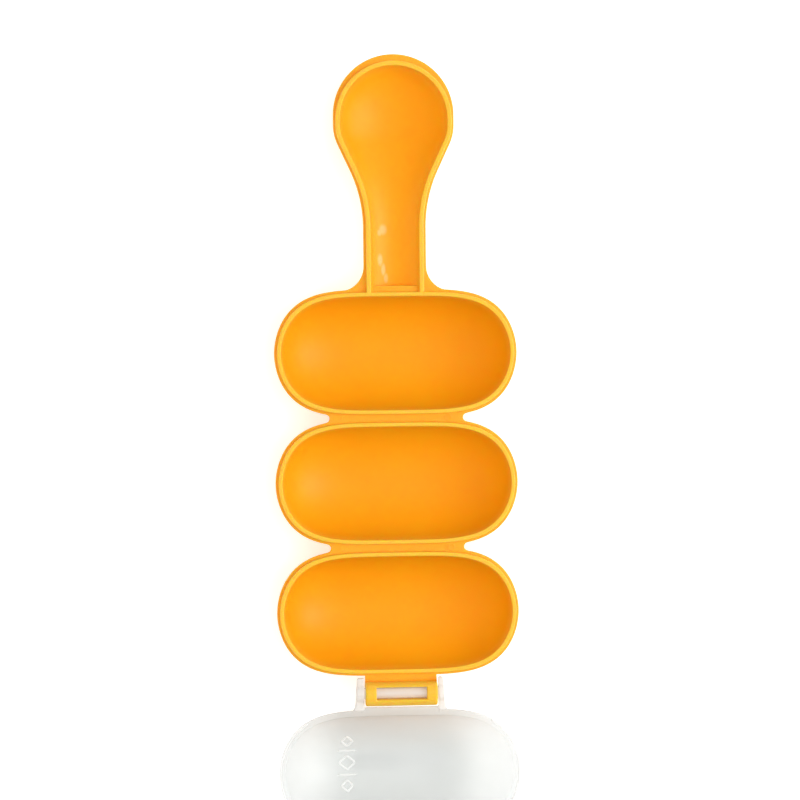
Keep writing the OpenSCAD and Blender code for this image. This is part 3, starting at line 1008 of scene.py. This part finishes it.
def lid_material():
    mat, nt, bsdf, out = nodes_of("frosted_polypropylene")
    L = nt.links.new
    tex = add(nt, "ShaderNodeTexCoord")
    cloud = add(nt, "ShaderNodeTexNoise")
    cloud.inputs["Scale"].default_value = 30
    cloud.inputs["Detail"].default_value = 3
    L(tex.outputs["Object"], cloud.inputs["Vector"])
    ramp = add(nt, "ShaderNodeValToRGB")
    ramp.color_ramp.elements[0].position = 0.3
    ramp.color_ramp.elements[0].color = linear("dfe0de")
    ramp.color_ramp.elements[1].position = 0.7
    ramp.color_ramp.elements[1].color = linear("e8e9e7")
    L(cloud.outputs["Fac"], ramp.inputs["Fac"])
    # painted light and shade: each dome is painted greyer and milkier in the middle, and lighter and clearer towards
    # its ends, where the key lamp lights them and shines through
    place = add(nt, "ShaderNodeSeparateXYZ")
    L(tex.outputs["Object"], place.inputs["Vector"])
    wide = add(nt, "ShaderNodeMath", operation="ABSOLUTE")
    L(place.outputs["X"], wide.inputs[0])
    lit_ends_mask = add(nt, "ShaderNodeMapRange", interpolation_type="SMOOTHSTEP")
    lit_ends_mask.inputs["From Min"].default_value = 12 * MM
    lit_ends_mask.inputs["From Max"].default_value = 27 * MM
    L(wide.outputs["Value"], lit_ends_mask.inputs["Value"])
    # painted light: ears, strip and rod are thin, and are painted in the lighter tone too
    hinge_light_mask = add(nt, "ShaderNodeMapRange", interpolation_type="SMOOTHSTEP")
    hinge_light_mask.inputs["From Min"].default_value = (Y_SHIFT + HINGE_Y - 6.0) * MM
    hinge_light_mask.inputs["From Max"].default_value = (Y_SHIFT + HINGE_Y - 4.0) * MM
    hinge_light_mask.inputs["To Max"].default_value = 0.5
    L(place.outputs["Y"], hinge_light_mask.inputs["Value"])
    light = add(nt, "ShaderNodeMath", operation="MAXIMUM")
    L(lit_ends_mask.outputs["Result"], light.inputs[0])
    L(hinge_light_mask.outputs["Result"], light.inputs[1])
    # painted highlight: the free edge of the skirt is painted whiter and more opaque, where it catches the light
    edge = add(nt, "ShaderNodeMapRange", interpolation_type="SMOOTHSTEP")
    edge.inputs["From Min"].default_value = (Z_SHIFT + 0.35) * MM
    edge.inputs["From Max"].default_value = (Z_SHIFT + 0.95) * MM
    L(place.outputs["Z"], edge.inputs["Value"])
    painted_light_mask = add(nt, "ShaderNodeMath", operation="MAXIMUM")
    L(light.outputs["Value"], painted_light_mask.inputs[0])
    L(edge.outputs["Result"], painted_light_mask.inputs[1])
    # painted light and shade: greyer tone in the middle of the domes, white at the lit ends, the hinge parts and the
    # skirt's edge
    painted_light_tone = add(nt, "ShaderNodeMix", data_type="RGBA")
    L(painted_light_mask.outputs["Value"], painted_light_tone.inputs["Factor"])
    painted_light_tone.inputs["A"].default_value = linear("e9eae9")
    painted_light_tone.inputs["B"].default_value = linear("ffffff")
    tint = add(nt, "ShaderNodeMix", data_type="RGBA", blend_type="MULTIPLY")
    tint.inputs["Factor"].default_value = 1.0
    L(ramp.outputs["Color"], tint.inputs["A"])
    L(painted_light_tone.outputs["Result"], tint.inputs["B"])
    # painted highlight: the raised lines are painted whiter, like the skirt's edge
    raised = add(nt, "ShaderNodeAttribute", attribute_name="raised")
    painted_highlight_mask = add(nt, "ShaderNodeMath", operation="MAXIMUM")
    L(edge.outputs["Result"], painted_highlight_mask.inputs[0])
    L(raised.outputs["Fac"], painted_highlight_mask.inputs[1])
    # painted highlight: the skirt's edge and the raised lines are painted near white
    painted_highlight = add(nt, "ShaderNodeMix", data_type="RGBA")
    L(painted_highlight_mask.outputs["Value"], painted_highlight.inputs["Factor"])
    L(tint.outputs["Result"], painted_highlight.inputs["A"])
    painted_highlight.inputs["B"].default_value = linear("fcfcfa")
    L(painted_highlight.outputs["Result"], bsdf.inputs["Base Color"])
    grain = add(nt, "ShaderNodeTexNoise")
    grain.inputs["Scale"].default_value = 2200
    grain.inputs["Detail"].default_value = 2
    L(tex.outputs["Object"], grain.inputs["Vector"])
    b1 = add(nt, "ShaderNodeBump")
    b1.inputs["Strength"].default_value = 0.05
    b1.inputs["Distance"].default_value = 0.0001
    L(grain.outputs["Fac"], b1.inputs["Height"])
    L(b1.outputs["Normal"], bsdf.inputs["Normal"])
    rough = add(nt, "ShaderNodeMapRange")
    rough.inputs["To Min"].default_value = 0.26
    rough.inputs["To Max"].default_value = 0.36
    L(cloud.outputs["Fac"], rough.inputs["Value"])
    L(rough.outputs["Result"], bsdf.inputs["Roughness"])
    bsdf.inputs["IOR"].default_value = 1.49
    milky = add(nt, "ShaderNodeBsdfTranslucent")
    # painted light: the translucent colour is lighter where the painted light mask is high
    through = add(nt, "ShaderNodeMix", data_type="RGBA")
    L(painted_light_mask.outputs["Value"], through.inputs["Factor"])
    through.inputs["A"].default_value = linear("f1f2f1")
    through.inputs["B"].default_value = linear("fdfdfb")
    L(through.outputs["Result"], milky.inputs["Color"])
    L(b1.outputs["Normal"], milky.inputs["Normal"])
    glow = add(nt, "ShaderNodeMixShader")
    glow.inputs["Fac"].default_value = 0.5
    L(bsdf.outputs["BSDF"], glow.inputs[1])
    L(milky.outputs["BSDF"], glow.inputs[2])
    clear = add(nt, "ShaderNodeBsdfTransparent")
    clear.inputs["Color"].default_value = linear("f4f5f5")
    body = add(nt, "ShaderNodeMixShader")
    # painted light: the dome ends are made clearer and the middle milkier, with the same mask
    milk = add(nt, "ShaderNodeMapRange")
    milk.inputs["To Min"].default_value = 0.56
    milk.inputs["To Max"].default_value = 0.44
    L(lit_ends_mask.outputs["Result"], milk.inputs["Value"])
    # painted highlight: the skirt's edge and the raised lines are made nearly opaque
    share = add(nt, "ShaderNodeMix", data_type="FLOAT")
    L(painted_highlight_mask.outputs["Value"], share.inputs["Factor"])
    L(milk.outputs["Result"], share.inputs["A"])
    share.inputs["B"].default_value = 0.92
    L(share.outputs["Result"], body.inputs["Fac"])
    L(clear.outputs["BSDF"], body.inputs[1])
    L(glow.outputs["Shader"], body.inputs[2])
    L(body.outputs["Shader"], out.inputs["Surface"])
    return mat


# ---------------------------------------------------------------- build
base = make_base()
lid = make_lid()
place(base, "base", "base", "orange_pp", base_material())
place(lid, "lid", "lid", "frosted_pp", lid_material())

# ---------------------------------------------------------------- floor, light, camera
def floor_piece():
    n, half = 24, 1.5
    bm = bmesh.new()
    bmesh.ops.create_grid(bm, x_segments=n, y_segments=n, size=half)
    me = bpy.data.meshes.new("floor")
    bm.to_mesh(me)
    bm.free()
    ob = bpy.data.objects.new("floor", me)
    bpy.context.scene.collection.objects.link(ob)
    mat, nt, bsdf, out = nodes_of("floor_white")
    bsdf.inputs["Base Color"].default_value = (0.92, 0.92, 0.92, 1)
    bsdf.inputs["Emission Color"].default_value = (1, 1, 1, 1)
    bsdf.inputs["Emission Strength"].default_value = 0.45
    bsdf.inputs["Roughness"].default_value = 0.9
    bsdf.inputs["Specular IOR Level"].default_value = 0.0
    me.materials.append(mat)


floor_piece()


def area(name, loc, target, size, power, color=(1, 1, 1)):
    d = bpy.data.lights.new(name, "AREA")
    d.shape = "RECTANGLE"
    d.size, d.size_y = size
    d.energy = power
    d.color = color
    o = bpy.data.objects.new(name, d)
    bpy.context.scene.collection.objects.link(o)
    o.location = loc
    o.rotation_euler = (Vector(target) - Vector(loc)).to_track_quat("-Z", "Y").to_euler()
    return o


area("key", (0.75, 0.10, 0.62), (0, 0, 0), (0.5, 0.7), 5.4)
top = area("top", (0.05, 0.05, 1.1), (0, 0, 0), (1.0, 1.0), 5.6)
fill = area("fill", (-0.80, 0.0, 0.50), (0, 0, 0), (0.6, 0.8), 1.35)
for lamp in (top, fill):
    lamp.visible_glossy = False
world = bpy.data.worlds.new("studio")
bpy.context.scene.world = world
world.use_nodes = True
world.node_tree.nodes["Background"].inputs["Color"].default_value = (1, 1, 1, 1)
world.node_tree.nodes["Background"].inputs["Strength"].default_value = 0.38

cam = bpy.data.cameras.new("camera")
cam.sensor_width = 36
cam.sensor_fit = "HORIZONTAL"
cam.lens = 2221.0 / 800 * 36
cam.clip_start = 0.01
cam_ob = bpy.data.objects.new("camera", cam)
bpy.context.scene.collection.objects.link(cam_ob)
rot = (Matrix.Rotation(math.radians(-2.031), 4, "X") @ Matrix.Rotation(math.radians(-3.551), 4, "Y") @ Matrix.Rotation(math.radians(-0.708), 4, "Z"))
cam_ob.matrix_world = Matrix.Translation((-0.03633, 0.04387 + Y_SHIFT * MM, 0.6 + Z_SHIFT * MM)) @ rot
bpy.context.scene.camera = cam_ob
bpy.context.scene.view_settings.view_transform = "Standard"
